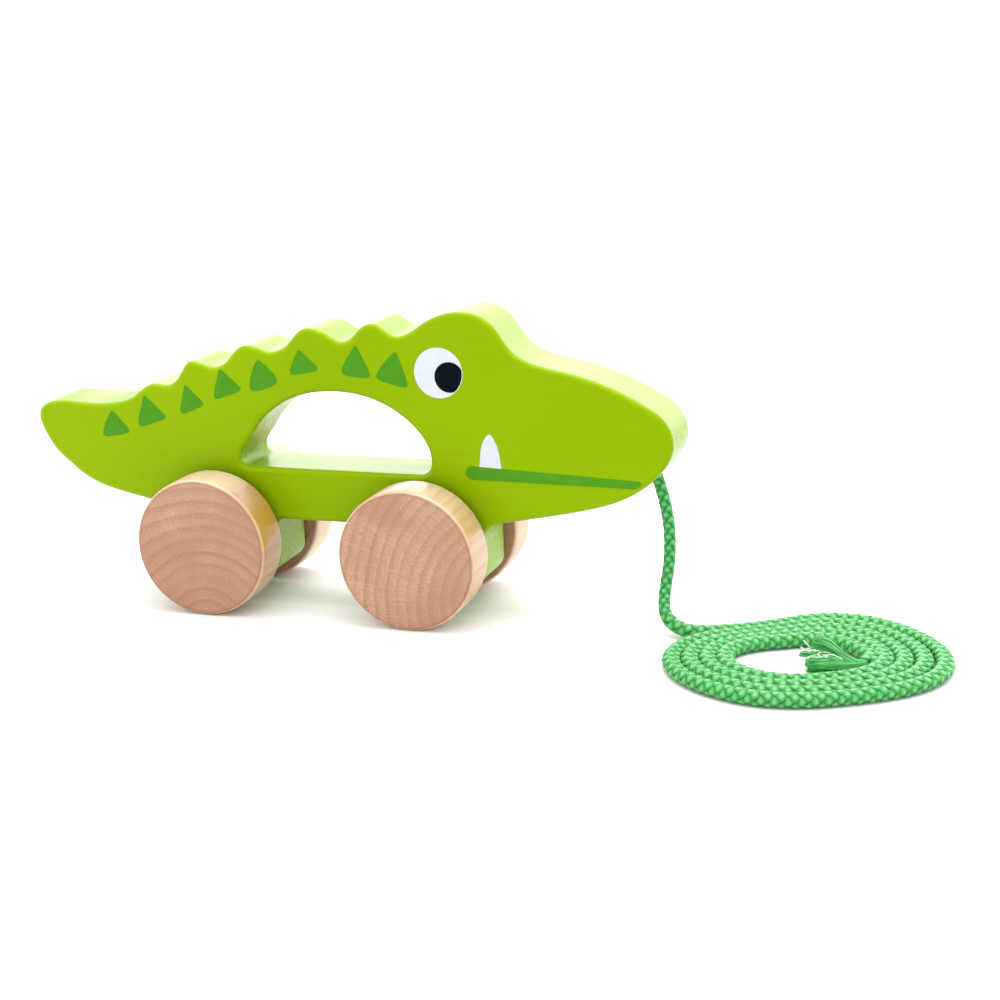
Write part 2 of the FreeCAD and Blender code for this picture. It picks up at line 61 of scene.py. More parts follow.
CAMERA_PLACE = place(268.5, -604.0, 217.75)
CAMERA_AIM = place(55.2, 0.0, 39.9)
CAMERA_ROLL = math.radians(-2.258)
LENS_MM = 68.4


def put_looking(thing, origin, target, roll=0.0):
    """Places a camera or a light at origin, looking at target and rolled about that line."""
    back = (origin - target).normalized()
    right = Vector((0, 0, 1)).cross(back).normalized()
    up = back.cross(right)
    turned_right = right * math.cos(roll) + up * math.sin(roll)
    turned_up = up * math.cos(roll) - right * math.sin(roll)
    for row in range(3):
        thing.matrix_world[row][0] = turned_right[row]
        thing.matrix_world[row][1] = turned_up[row]
        thing.matrix_world[row][2] = back[row]
        thing.matrix_world[row][3] = origin[row]


def add_object(name, data):
    made = bpy.data.objects.new(name, data)
    bpy.context.scene.collection.objects.link(made)
    return made


camera = add_object("camera", bpy.data.cameras.new("camera"))
camera.data.sensor_width = 36.0
camera.data.lens = LENS_MM
camera.data.clip_start = 0.01
camera.data.clip_end = 20.0
put_looking(camera, CAMERA_PLACE, CAMERA_AIM, CAMERA_ROLL)
bpy.context.scene.camera = camera

# ------------------------------------------------------------------------------ the cord's route

CORD_DIAMETER_MM = 4.3

# The hanging stretch, from the bottom of its hole in the jaw to the floor.
HANGING_STRETCH = [
    (109.4, 0.0, 59.0), (113.4, 0.0, 48.0), (116.2, -0.5, 35.0), (116.6, -2.1, 22.5),
    (115.5, -6.4, 12.0), (116.9, -12.9, 6.4), (122.7, -16.7, 2.9), (130.5, -16.6, 2.2),
]

# The coil: an oval with uneven waves, wound clockwise and inwards as seen from above. Each wave
# has its count round the turn, its depth and the angle of its peak.
COIL_CENTRE = (168.5, -32.0)
COIL_MEAN_RADIUS = 42.2
COIL_WAVES = [(1, 3.07, -102.0), (2, 5.56, 25.0), (3, 1.47, -41.0), (4, 1.55, -4.0)]
COIL_SHRINK = 0.145
COIL_EASE = 0.002
COIL_START = 148.0
COIL_TURNS = 4.30
# Near the object its turns are gathered about this one, by so much for each turn away from it.
COIL_GATHER = 1.2
GATHERED_TURN = 2.15
POINTS_PER_TURN = 24
CORD_FLOOR = 2.2

# The last points, where the cord leaves the innermost turn and comes to its frayed end.
CORD_END = [(188.9, -26.4, 2.2), (188.9, -30.6, 2.2), (187.6, -34.6, 2.2)]


def coil_point(angle):
    """A point on the spiral, in millimetres; the angle counts down from COIL_START in degrees."""
    turns = (90.0 - angle) / 360.0
    swell = 0.0
    for wave, depth, peak in COIL_WAVES:
        swell += depth * math.cos(math.radians(wave * (angle - peak)))
    radius = (COIL_MEAN_RADIUS + swell) * (1 - COIL_SHRINK * turns + COIL_EASE * turns ** 2)
    nearness = ((1 - math.cos(math.radians(angle))) / 2) ** 2
    radius += COIL_GATHER * (turns - GATHERED_TURN) * nearness
    x = COIL_CENTRE[0] + radius * math.cos(math.radians(angle))
    y = COIL_CENTRE[1] + radius * math.sin(math.radians(angle))
    return x, y, CORD_FLOOR


def cord_route():
    """Control points of the whole cord, in metres."""
    points = list(HANGING_STRETCH)
    count = int(COIL_TURNS * POINTS_PER_TURN)
    for i in range(count + 1):
        points.append(coil_point(COIL_START - i * 360.0 / POINTS_PER_TURN))
    points += CORD_END
    return [place(*point) for point in points]


def follow_route(points):
    """The points of a smooth NURBS line that has the route's points as its control points."""
    line = bpy.data.curves.new("cord_line", "CURVE")
    line.dimensions = "3D"
    line.resolution_u = 8
    spline = line.splines.new("NURBS")
    spline.points.add(len(points) - 1)
    for target, point in zip(spline.points, points):
        target.co = (*point, 1.0)
    spline.order_u = 3
    spline.use_endpoint_u = True
    holder = add_object("cord_line", line)
    bpy.context.view_layer.update()
    mesh = bpy.data.meshes.new_from_object(holder)
    path = [vertex.co.copy() for vertex in mesh.vertices]
    bpy.data.meshes.remove(mesh)
    bpy.data.objects.remove(holder)
    return path


cord_path = follow_route(cord_route())


class Walk:
    """Places and directions along a path, by distance from its start."""

    def __init__(self, path):
        self.path = path
        self.run = [0.0]
        for before, after in zip(path, path[1:]):
            self.run.append(self.run[-1] + (after - before).length)
        self.length = self.run[-1]
        self.ahead = []
        last = len(path) - 1
        for i in range(len(path)):
            self.ahead.append((path[min(i + 1, last)] - path[max(i - 1, 0)]).normalized())
        # The side direction is carried along without twisting.
        side = self.ahead[0].orthogonal().normalized()
        self.side = []
        for ahead in self.ahead:
            side = (side - ahead * side.dot(ahead)).normalized()
            self.side.append(side.copy())
        self.at = 0

    def frame(self, distance):
        """Place, direction and two cross directions. It is quick where distances rise."""
        if distance < self.run[self.at]:
            self.at = 0
        while self.at < len(self.run) - 2 and self.run[self.at + 1] < distance:
            self.at += 1
        i = self.at
        share = (distance - self.run[i]) / (self.run[i + 1] - self.run[i])
        centre = self.path[i].lerp(self.path[i + 1], share)
        ahead = self.ahead[i].lerp(self.ahead[i + 1], share).normalized()
        side = self.side[i].lerp(self.side[i + 1], share)
        side = (side - ahead * side.dot(ahead)).normalized()
        return centre, ahead, side, ahead.cross(side)


# ------------------------------------------------------------------------------ material helpers

def linear(code):
    """An sRGB hex colour as linear red, green, blue and full alpha."""
    parts = [int(code[i:i + 2], 16) / 255 for i in (1, 3, 5)]
    return tuple(c / 12.92 if c <= 0.04045 else ((c + 0.055) / 1.055) ** 2.4 for c in parts) + (1.0,)


def add_node(tree, kind, inputs=None, stops=(), **settings):
    """Adds a node: settings are its properties, inputs are values or sockets to link from, and
    stops are the places and colours of its colour ramp, in rising order."""
    node = tree.nodes.new(kind)
    for name, value in settings.items():
        setattr(node, name, value)
    for name, value in (inputs or {}).items():
        if isinstance(value, bpy.types.NodeSocket):
            tree.links.new(value, node.inputs[name])
        else:
            node.inputs[name].default_value = value
    for number, (position, colour) in enumerate(stops):
        if number == len(node.color_ramp.elements):
            node.color_ramp.elements.new(position)
        node.color_ramp.elements[number].position = position
        node.color_ramp.elements[number].color = colour
    return node


def new_material(name):
    """A material with only its output node."""
    material = bpy.data.materials.new(name)
    material.use_nodes = True
    material.node_tree.nodes.clear()
    add_node(material.node_tree, "ShaderNodeOutputMaterial")
    return material, material.node_tree


def finish_material(tree, **inputs):
    """A Principled shader with these inputs, joined to the output. Underscores stand for spaces."""
    named = {name.replace("_", " "): value for name, value in inputs.items()}
    shader = add_node(tree, "ShaderNodeBsdfPrincipled", named)
    tree.links.new(shader.outputs["BSDF"], tree.nodes["Material Output"].inputs["Surface"])


def grey(value):
    return (value, value, value, 1.0)


def per_mm(size_mm):
    """Texture scale, in cycles per metre, of a pattern that repeats every size_mm."""
    return 1.0 / (size_mm * MM)


# ------------------------------------------------------------------------------ paint and ink

def lime_gloss_paint():
    """Sprayed two-coat lime lacquer on close-grained wood: even and glossy, with the grain's long
    ridges and a few dust specks showing through."""
    material, tree = new_material("lime_gloss_paint")
    coordinates = add_node(tree, "ShaderNodeTexCoord")
    spot = coordinates.outputs["Object"]
    facing = add_node(tree, "ShaderNodeSeparateXYZ", {0: coordinates.outputs["Normal"]})

    # The coat is a little thicker here and there, in clouds of 60 mm.
    cloud = add_node(tree, "ShaderNodeTexNoise", {
        "Vector": spot, "Scale": per_mm(60.0), "Detail": 2.0, "Roughness": 0.5})
    coat = add_node(tree, "ShaderNodeValToRGB", {"Fac": cloud.outputs["Fac"]}, stops=[
        (0.3, linear("#799904")), (0.7, linear("#819F06"))])

    # Grain runs along the board, in ridges about 1.4 mm apart.
    along = add_node(tree, "ShaderNodeMapping", {
        "Vector": spot, "Scale": (per_mm(70.0), per_mm(1.4), per_mm(1.4))})
    grain = add_node(tree, "ShaderNodeTexNoise", {
        "Vector": along.outputs["Vector"], "Scale": 1.0, "Detail": 4.0, "Roughness": 0.6})
    streak = add_node(tree, "ShaderNodeMapRange", {
        "Value": grain.outputs["Fac"], "From Min": 0.35, "From Max": 0.75, "To Max": 0.22})
    streaked = add_node(tree, "ShaderNodeMix", {
        "Factor": streak.outputs["Result"], "A": coat.outputs["Color"], "B": linear("#719205")},
        data_type="RGBA")

    # Sawn ends of the board soak paint up unevenly, in dark mottles about 2 mm across.
    facing_end = add_node(tree, "ShaderNodeMath", {0: facing.outputs["X"]}, operation="ABSOLUTE")
    on_end = add_node(tree, "ShaderNodeMapRange", {
        "Value": facing_end.outputs["Value"], "From Min": 0.6, "From Max": 0.9})
    mottle = add_node(tree, "ShaderNodeTexNoise", {
        "Vector": spot, "Scale": per_mm(2.0), "Detail": 4.0, "Roughness": 0.75})
    mottle = add_node(tree, "ShaderNodeMapRange", {
        "Value": mottle.outputs["Fac"], "From Min": 0.45, "From Max": 0.62, "To Max": 0.45})
    soak = add_node(tree, "ShaderNodeMath", {
        0: mottle.outputs["Result"], 1: on_end.outputs["Result"]}, operation="MULTIPLY")
    soaked = add_node(tree, "ShaderNodeMix", {
        "Factor": soak.outputs["Value"], "A": streaked.outputs["Result"], "B": linear("#4E6A0E")},
        data_type="RGBA")

    # Dust specks of 0.3 mm, one in every few square centimetres.
    dust = add_node(tree, "ShaderNodeTexVoronoi", {
        "Vector": spot, "Scale": per_mm(9.0), "Randomness": 1.0})
    speck = add_node(tree, "ShaderNodeMath", {
        0: dust.outputs["Distance"], 1: 0.028}, operation="LESS_THAN")
    dusted = add_node(tree, "ShaderNodeMix", {
        "Factor": speck.outputs["Value"], "A": soaked.outputs["Result"], "B": linear("#516D0C")},
        data_type="RGBA")

    # The flat faces were sanded smooth; the sawn edges keep more of the grain under the paint.
    facing_side = add_node(tree, "ShaderNodeMath", {0: facing.outputs["Y"]}, operation="ABSOLUTE")
    ridge_strength = add_node(tree, "ShaderNodeMapRange", {
        "Value": facing_side.outputs["Value"], "From Min": 0.3, "From Max": 0.95, "To Min": 0.75,
        "To Max": 0.2})
    ridges = add_node(tree, "ShaderNodeBump", {
        "Height": grain.outputs["Fac"], "Strength": ridge_strength.outputs["Result"],
        "Distance": 0.1 * MM})
    orange_peel = add_node(tree, "ShaderNodeTexNoise", {
        "Vector": spot, "Scale": per_mm(1.1), "Detail": 2.0, "Roughness": 0.5})
    skin = add_node(tree, "ShaderNodeBump", {
        "Height": orange_peel.outputs["Fac"], "Strength": 0.18, "Distance": 0.05 * MM,
        "Normal": ridges.outputs["Normal"]})
    rough = add_node(tree, "ShaderNodeMapRange", {
        "Value": grain.outputs["Fac"], "From Min": 0.3, "From Max": 0.7, "To Min": 0.26, "To Max": 0.36})
    finish_material(
        tree, Base_Color=dusted.outputs["Result"], Roughness=rough.outputs["Result"],
        Normal=skin.outputs["Normal"], IOR=1.5, Specular_Tint=linear("#A9D21E"))
    return material


def screen_print(name, code, deep_code, roughness, tint):
    """Screen-printed ink over the paint: flatter than the lacquer, a little uneven in its cover,
    and with the fine tooth that the screen's mesh leaves."""
    material, tree = new_material(name)
    spot = add_node(tree, "ShaderNodeTexCoord").outputs["Object"]
    cover = add_node(tree, "ShaderNodeTexNoise", {
        "Vector": spot, "Scale": per_mm(4.0), "Detail": 5.0, "Roughness": 0.6})
    colour = add_node(tree, "ShaderNodeValToRGB", {"Fac": cover.outputs["Fac"]}, stops=[
        (0.3, linear(deep_code)), (0.65, linear(code))])
    # The screen's mesh is finer than this; it is drawn at 0.5 mm so that it shows.
    mesh_marks = add_node(tree, "ShaderNodeTexNoise", {
        "Vector": spot, "Scale": per_mm(0.5), "Detail": 2.0, "Roughness": 0.5})
    rough = add_node(tree, "ShaderNodeMapRange", {
        "Value": mesh_marks.outputs["Fac"], "To Min": roughness - 0.08, "To Max": roughness + 0.1})
    tooth = add_node(tree, "ShaderNodeBump", {
        "Height": mesh_marks.outputs["Fac"], "Strength": 0.25, "Distance": 0.03 * MM})
    finish_material(
        tree, Base_Color=colour.outputs["Color"], Roughness=rough.outputs["Result"],
        Normal=tooth.outputs["Normal"], IOR=1.5, Specular_Tint=linear(tint))
    return material


# ------------------------------------------------------------------------------ wood

# The slant of the edge of the painted amber reflection on each wheel's rim:
REFLECTION_SLANT = 13.0           # radians round the axle, for each metre along it
RAY_SPACING_MM = 0.7


def growth_rings(tree, reach, shifted, ring_mm, sway_mm):
    """How dark the growth rings are at a spot: broad late-wood bands, not all alike, with faint
    finer lines between them. Reach is the spot's distance from the log's pith."""
    sway = add_node(tree, "ShaderNodeTexNoise", {
        "Vector": shifted, "Scale": per_mm(26.0), "Detail": 2.0, "Roughness": 0.4})
    swayed = add_node(tree, "ShaderNodeMath", {
        0: sway.outputs["Fac"], 1: sway_mm * MM, 2: reach}, operation="MULTIPLY_ADD")
    years = add_node(tree, "ShaderNodeMath", {
        0: swayed.outputs["Value"], 1: per_mm(ring_mm)}, operation="MULTIPLY")
    season = add_node(tree, "ShaderNodeMath", {0: years.outputs["Value"]}, operation="FRACT")
    late_wood = add_node(tree, "ShaderNodeValToRGB", {"Fac": season.outputs["Value"]}, stops=[
        (0.0, grey(0.5)), (0.12, grey(0.0)), (0.5, grey(0.1)), (0.88, grey(0.8)), (0.95, grey(1.0)),
        (1.0, grey(0.5))])
    year = add_node(tree, "ShaderNodeMath", {0: years.outputs["Value"]}, operation="FLOOR")
    weather = add_node(tree, "ShaderNodeTexWhiteNoise", {
        "W": year.outputs["Value"]}, noise_dimensions="1D")
    weather = add_node(tree, "ShaderNodeMapRange", {"Value": weather.outputs["Value"], "To Min": 0.35})
    band = add_node(tree, "ShaderNodeMath", {
        0: late_wood.outputs["Color"], 1: weather.outputs["Result"]}, operation="MULTIPLY")
    quarters = add_node(tree, "ShaderNodeMath", {
        0: swayed.outputs["Value"], 1: per_mm(ring_mm / 4)}, operation="MULTIPLY")
    flush = add_node(tree, "ShaderNodeTexNoise", {
        "W": quarters.outputs["Value"], "Scale": 1.0, "Detail": 2.0, "Roughness": 0.7},
        noise_dimensions="1D")
    ring = add_node(tree, "ShaderNodeMath", {
        0: flush.outputs["Fac"], 1: 0.55, 2: band.outputs["Value"]}, operation="MULTIPLY_ADD")
    return ring.outputs["Value"]


def wood_rays(tree, from_pith, reach, pith_mm, random_shift):
    """Rays: fine lines that fan out from the pith, RAY_SPACING_MM apart at this wheel."""
    ray_count = math.hypot(*pith_mm) / RAY_SPACING_MM
    apart = add_node(tree, "ShaderNodeSeparateXYZ", {0: from_pith})
    bearing = add_node(tree, "ShaderNodeMath", {
        0: apart.outputs["Z"], 1: apart.outputs["X"]}, operation="ARCTAN2")
    fan = add_node(tree, "ShaderNodeCombineXYZ", {0: bearing.outputs["Value"], 1: 0.0, 2: reach})
    fan = add_node(tree, "ShaderNodeMapping", {
        "Vector": fan.outputs["Vector"], "Scale": (ray_count, 1.0, per_mm(16.0)),
        "Location": random_shift})
    rays = add_node(tree, "ShaderNodeTexNoise", {
        "Vector": fan.outputs["Vector"], "Scale": 1.0, "Detail": 3.0, "Roughness": 0.7})
    return rays.outputs["Fac"]


def amber_board_reflection(tree, spot, pores, on_face, begins_at, depth, wood):
    """Wood with a painted amber reflection of the lime board on part of its rim: it begins sharply
    along a line that crosses the rim on a slant, and fades out the other way round."""
    around = add_node(tree, "ShaderNodeSeparateXYZ", {0: spot})
    bearing = add_node(tree, "ShaderNodeMath", {
        0: around.outputs["Z"], 1: around.outputs["X"]}, operation="ARCTAN2")
    slanted = add_node(tree, "ShaderNodeMath", {
        0: around.outputs["Y"], 1: -REFLECTION_SLANT, 2: bearing.outputs["Value"]}, operation="MULTIPLY_ADD")
    ragged = add_node(tree, "ShaderNodeMath", {
        0: pores, 1: 0.2, 2: slanted.outputs["Value"]}, operation="MULTIPLY_ADD")
    past = add_node(tree, "ShaderNodeMath", {
        0: ragged.outputs["Value"], 1: math.radians(begins_at) + 0.1}, operation="SUBTRACT")
    begun = add_node(tree, "ShaderNodeMapRange", {
        "Value": past.outputs["Value"], "From Min": -0.03, "From Max": 0.03})
    fading = add_node(tree, "ShaderNodeMapRange", {
        "Value": past.outputs["Value"], "From Min": 0.25, "From Max": 0.85, "To Min": depth, "To Max": 0.0})
    reflection = add_node(tree, "ShaderNodeMath", {
        0: begun.outputs["Result"], 1: fading.outputs["Result"]}, operation="MULTIPLY")
    off_face = add_node(tree, "ShaderNodeMath", {0: 1.0, 1: on_face}, operation="SUBTRACT")
    reflection = add_node(tree, "ShaderNodeMath", {
        0: reflection.outputs["Value"], 1: off_face.outputs["Value"]}, operation="MULTIPLY")
    reflected = add_node(tree, "ShaderNodeMix", {
        "Factor": reflection.outputs["Value"], "A": wood, "B": linear("#B98A14")}, data_type="RGBA")
    return reflected.outputs["Result"]


def turned_edge(tree, facing, wood):
    """Wood with its rounded edge marked: a dark scorched line where the tool bit, then a pale
    painted highlight over the rounding. Facing is 1 on the flat faces and 0 on the rim."""
    bite = add_node(tree, "ShaderNodeMapRange", {"Value": facing, "From Min": 0.8, "From Max": 0.93})
    lift = add_node(tree, "ShaderNodeMapRange", {
        "Value": facing, "From Min": 0.965, "From Max": 0.999, "To Min": 0.45, "To Max": 0.0})
    scorch = add_node(tree, "ShaderNodeMath", {
        0: bite.outputs["Result"], 1: lift.outputs["Result"]}, operation="MULTIPLY")
    scorched = add_node(tree, "ShaderNodeMix", {
        "Factor": scorch.outputs["Value"], "A": wood, "B": linear("#8C5A3E")}, data_type="RGBA")
    # Painted highlight: a pale band over the rounded edge.
    highlight_from = add_node(tree, "ShaderNodeMapRange", {"Value": facing, "From Min": 0.2, "From Max": 0.45})
    highlight_to = add_node(tree, "ShaderNodeMapRange", {
        "Value": facing, "From Min": 0.6, "From Max": 0.85, "To Min": 0.32, "To Max": 0.0})
    edge_highlight = add_node(tree, "ShaderNodeMath", {
        0: highlight_from.outputs["Result"], 1: highlight_to.outputs["Result"]}, operation="MULTIPLY")
    edged = add_node(tree, "ShaderNodeMix", {
        "Factor": edge_highlight.outputs["Value"], "A": scorched.outputs["Result"], "B": linear("#E0CDB8")},
        data_type="RGBA")
    return edged.outputs["Result"]


def lacquered_maple(name, centre, pith_mm, ring_mm, sway_mm, reflection_begins_at, reflection_depth, tone, seed):
    """Turned close-grained maple under clear lacquer. The wheel is sawn across a log, so its faces
    are end grain, with growth rings, fine rays and pores, and look matt and pinkish. Its rim is
    side grain, yellower and glossier, with the rings running across it as long streaks."""
    material, tree = new_material(name)
    coordinates = add_node(tree, "ShaderNodeTexCoord")
    spot = add_node(tree, "ShaderNodeMapping", {
        "Vector": coordinates.outputs["Object"], "Location": tuple(-c for c in centre)})
    spot = spot.outputs["Vector"]
    random_shift = (seed * 0.37, seed * 0.11, seed * 0.23)

    # The log's pith lies along the axle, so little changes that way.
    from_pith = add_node(tree, "ShaderNodeMapping", {
        "Vector": spot, "Location": (-pith_mm[0] * MM, 0.0, -pith_mm[1] * MM), "Scale": (1.0, 0.04, 1.0)})
    from_pith = from_pith.outputs["Vector"]
    shifted = add_node(tree, "ShaderNodeVectorMath", {0: from_pith, 1: random_shift}, operation="ADD")
    shifted = shifted.outputs["Vector"]
    reach = add_node(tree, "ShaderNodeVectorMath", {0: from_pith}, operation="LENGTH").outputs["Value"]
    rings = growth_rings(tree, reach, shifted, ring_mm, sway_mm)
    rays = wood_rays(tree, from_pith, reach, pith_mm, random_shift)

    # Pores of 0.5 mm, drawn out along the grain, so long on the rim and round on the faces.
    grained = add_node(tree, "ShaderNodeMapping", {
        "Vector": spot, "Scale": (per_mm(0.5), per_mm(9.0), per_mm(0.5)), "Location": random_shift})
    pores = add_node(tree, "ShaderNodeTexNoise", {
        "Vector": grained.outputs["Vector"], "Scale": 1.0, "Detail": 3.0, "Roughness": 0.65})
    pores = pores.outputs["Fac"]

    # Faces look along the axle; the rim looks away from it.
    facing = add_node(tree, "ShaderNodeSeparateXYZ", {0: coordinates.outputs["Normal"]})
    facing = add_node(tree, "ShaderNodeMath", {0: facing.outputs["Y"]}, operation="ABSOLUTE")
    facing = facing.outputs["Value"]
    on_face = add_node(tree, "ShaderNodeMapRange", {"Value": facing, "From Min": 0.45, "From Max": 0.85})
    on_face = on_face.outputs["Result"]

    face = add_node(tree, "ShaderNodeValToRGB", {"Fac": pores}, stops=[
        (0.3, linear("#A47A5D")), (0.5, linear("#B58F74")), (0.7, linear("#C8A88F"))])
    rim = add_node(tree, "ShaderNodeValToRGB", {"Fac": pores}, stops=[
        (0.3, linear("#D8BC9C")), (0.5, linear("#E0C8AC")), (0.7, linear("#E6D2BC"))])
    wood = add_node(tree, "ShaderNodeMix", {
        "Factor": on_face, "A": rim.outputs["Color"], "B": face.outputs["Color"]}, data_type="RGBA")
    ring_colour = add_node(tree, "ShaderNodeMix", {
        "Factor": on_face, "A": linear("#C49C6C"), "B": linear("#925F40")}, data_type="RGBA")
    ring_share = add_node(tree, "ShaderNodeMath", {0: rings, 1: 0.66}, operation="MULTIPLY")
    ringed = add_node(tree, "ShaderNodeMix", {
        "Factor": ring_share.outputs["Value"], "A": wood.outputs["Result"],
        "B": ring_colour.outputs["Result"]}, data_type="RGBA")
    ray_share = add_node(tree, "ShaderNodeMapRange", {
        "Value": rays, "From Min": 0.5, "From Max": 0.78, "To Max": 0.36})
    ray_share = add_node(tree, "ShaderNodeMath", {
        0: ray_share.outputs["Result"], 1: on_face}, operation="MULTIPLY")
    rayed = add_node(tree, "ShaderNodeMix", {
        "Factor": ray_share.outputs["Value"], "A": ringed.outputs["Result"], "B": linear("#C5AA94")},
        data_type="RGBA")

    # Redder patches where the lacquer sank in.
    patch = add_node(tree, "ShaderNodeTexNoise", {
        "Vector": shifted, "Scale": per_mm(30.0), "Detail": 2.0})
    patch = add_node(tree, "ShaderNodeMapRange", {
        "Value": patch.outputs["Fac"], "From Min": 0.42, "From Max": 0.7, "To Max": 0.7})
    patched = add_node(tree, "ShaderNodeMix", {
        "Factor": patch.outputs["Result"], "A": rayed.outputs["Result"], "B": linear("#9D6C4D")},
        data_type="RGBA")

    # Painted reflection: an amber band on the rim stands in for the lime board reflected there.
    reflected = amber_board_reflection(
        tree, spot, pores, on_face, reflection_begins_at, reflection_depth, patched.outputs["Result"])
    edged = turned_edge(tree, facing, reflected)
    toned = add_node(tree, "ShaderNodeMix", {
        "A": edged, "B": grey(tone), "Factor": 1.0}, data_type="RGBA", blend_type="MULTIPLY")
    rough = add_node(tree, "ShaderNodeMapRange", {"Value": on_face, "To Min": 0.34, "To Max": 0.5})
    open_pores = add_node(tree, "ShaderNodeBump", {
        "Height": pores, "Strength": 0.3, "Distance": 0.06 * MM})
    finish_material(
        tree, Base_Color=toned.outputs["Result"], Roughness=rough.outputs["Result"],
        Normal=open_pores.outputs["Normal"], IOR=1.5)
    return material


def bare_dowel_wood():
    """Rolled birch dowel, unpainted: straight fine grain along the axle, dry and matt."""
    material, tree = new_material("bare_dowel_wood")
    spot = add_node(tree, "ShaderNodeTexCoord").outputs["Object"]
    along = add_node(tree, "ShaderNodeMapping", {
        "Vector": spot, "Scale": (per_mm(0.8), per_mm(30.0), per_mm(0.8))})
    grain = add_node(tree, "ShaderNodeTexNoise", {
        "Vector": along.outputs["Vector"], "Scale": 1.0, "Detail": 4.0, "Roughness": 0.6})
    colour = add_node(tree, "ShaderNodeValToRGB", {"Fac": grain.outputs["Fac"]}, stops=[
        (0.3, linear("#A0774E")), (0.7, linear("#BF9F75"))])
    ridges = add_node(tree, "ShaderNodeBump", {
        "Height": grain.outputs["Fac"], "Strength": 0.4, "Distance": 0.08 * MM})
    finish_material(
        tree, Base_Color=colour.outputs["Color"], Roughness=0.62, Normal=ridges.outputs["Normal"])
    return material


# ------------------------------------------------------------------------------ cord and floor

def braided_polyester():
    """Bright green polyester braid: each strand a flat bundle of parallel fibres, with a painted
    highlight on its crown and painted shade, deep green, where it dives under the next."""
    material, tree = new_material("braided_polyester")
    on_strand = add_node(tree, "ShaderNodeUVMap", uv_map="strand").outputs["UV"]
    painted_over_under_light = add_node(tree, "ShaderNodeAttribute", attribute_name="painted_over_under_light").outputs["Fac"]
    # Painted light: a pale painted highlight where a strand passes over, deep painted shade where it dives
    # under.
    depth = add_node(tree, "ShaderNodeValToRGB", {"Fac": painted_over_under_light}, stops=[
        (0.15, linear("#033C10")), (0.5, linear("#127528")), (0.78, linear("#379945")),
        (1.0, linear("#72BC79"))])

    # About 14 fibres show across a strand; each drifts slowly along it.
    fibres = add_node(tree, "ShaderNodeMapping", {"Vector": on_strand, "Scale": (30.0, 2.2, 1.0)})
    fibres = add_node(tree, "ShaderNodeTexNoise", {
        "Vector": fibres.outputs["Vector"], "Scale": 1.0, "Detail": 3.0, "Roughness": 0.6})
    fibre_share = add_node(tree, "ShaderNodeMapRange", {
        "Value": fibres.outputs["Fac"], "From Min": 0.45, "From Max": 0.8, "To Max": 0.5})
    fibred = add_node(tree, "ShaderNodeMix", {
        "Factor": fibre_share.outputs["Result"], "A": depth.outputs["Color"], "B": linear("#73B97C")},
        data_type="RGBA")

    # The dye took a little more deeply in places, 9 mm or so along.
    spot = add_node(tree, "ShaderNodeTexCoord").outputs["Object"]
    dye = add_node(tree, "ShaderNodeTexNoise", {"Vector": spot, "Scale": per_mm(9.0), "Detail": 2.0})
    dye_share = add_node(tree, "ShaderNodeMapRange", {
        "Value": dye.outputs["Fac"], "From Min": 0.4, "From Max": 0.8, "To Max": 0.3})
    dyed = add_node(tree, "ShaderNodeMix", {
        "Factor": dye_share.outputs["Result"], "A": fibred.outputs["Result"], "B": linear("#278E3A")},
        data_type="RGBA")
    threads = add_node(tree, "ShaderNodeBump", {
        "Height": fibres.outputs["Fac"], "Strength": 0.6, "Distance": 0.12 * MM})
    finish_material(
        tree, Base_Color=dyed.outputs["Result"], Roughness=0.4, Normal=threads.outputs["Normal"],
        Specular_IOR_Level=0.35, Sheen_Weight=0.06, Sheen_Roughness=0.35, Sheen_Tint=linear("#B8EABC"))
    return material


def loose_fibres():
    """The same polyester combed open: thin bright fibres, the loosest of them almost white."""
    material, tree = new_material("loose_fibres")
    # The shade attribute holds each fibre's own tone, with painted light from above in it.
    shade = add_node(tree, "ShaderNodeAttribute", attribute_name="shade").outputs["Fac"]
    spot = add_node(tree, "ShaderNodeTexCoord").outputs["Object"]
    uneven = add_node(tree, "ShaderNodeTexNoise", {"Vector": spot, "Scale": per_mm(3.0), "Detail": 2.0})
    mixed = add_node(tree, "ShaderNodeMath", {
        0: uneven.outputs["Fac"], 1: 0.35, 2: shade}, operation="MULTIPLY_ADD")
    colour = add_node(tree, "ShaderNodeValToRGB", {"Fac": mixed.outputs["Value"]}, stops=[
        (0.2, linear("#0F8A2A")), (0.55, linear("#36A246")), (0.9, linear("#68B670")),
        (1.0, linear("#C4DEC4"))])
    finish_material(
        tree, Base_Color=colour.outputs["Color"], Roughness=0.45, Specular_IOR_Level=0.4)
    return material


def pale_studio_paper():
    """Plain matt pale paper, which the strong light makes white."""
    material, tree = new_material("pale_studio_paper")
    finish_material(tree, Base_Color=linear("#E7E7E7"), Roughness=0.9)
    return material


# ------------------------------------------------------------------------------ mesh helpers

def mesh_object(name, shape):
    """Makes an object at the origin from a bmesh, shaded smooth, and frees the bmesh."""
    mesh = bpy.data.meshes.new(name)
    shape.to_mesh(mesh)
    shape.free()
    mesh.polygons.foreach_set("use_smooth", [True] * len(mesh.polygons))
    return add_object(name, mesh)


def dress(node_name, material):
    """Gives a CAD node its material."""
    mesh = nodes[node_name].data
    mesh.materials.clear()
    mesh.materials.append(material)


def round_ring(shape, centre, side, rise_way, radius, sides):
    """New vertices in a ring round a centre."""
    ring = []
    for k in range(sides):
        bearing = FULL_TURN * k / sides
        outward = side * math.cos(bearing) + rise_way * math.sin(bearing)
        ring.append(shape.verts.new(centre + outward * radius))
    return ring


def sweep_rings(shape, rings):
    """Skins a row of vertex rings, all of the same count, and caps its ends. Only the faces of the
    skin are returned."""
    faces = []
    count = len(rings[0])
    for before, after in zip(rings, rings[1:]):
        for k in range(count):
            m = (k + 1) % count
            faces.append(shape.faces.new((before[k], before[m], after[m], after[k])))
    shape.faces.new(list(reversed(rings[0])))
    shape.faces.new(rings[-1])
    return faces


# ------------------------------------------------------------------------------ the braided cord

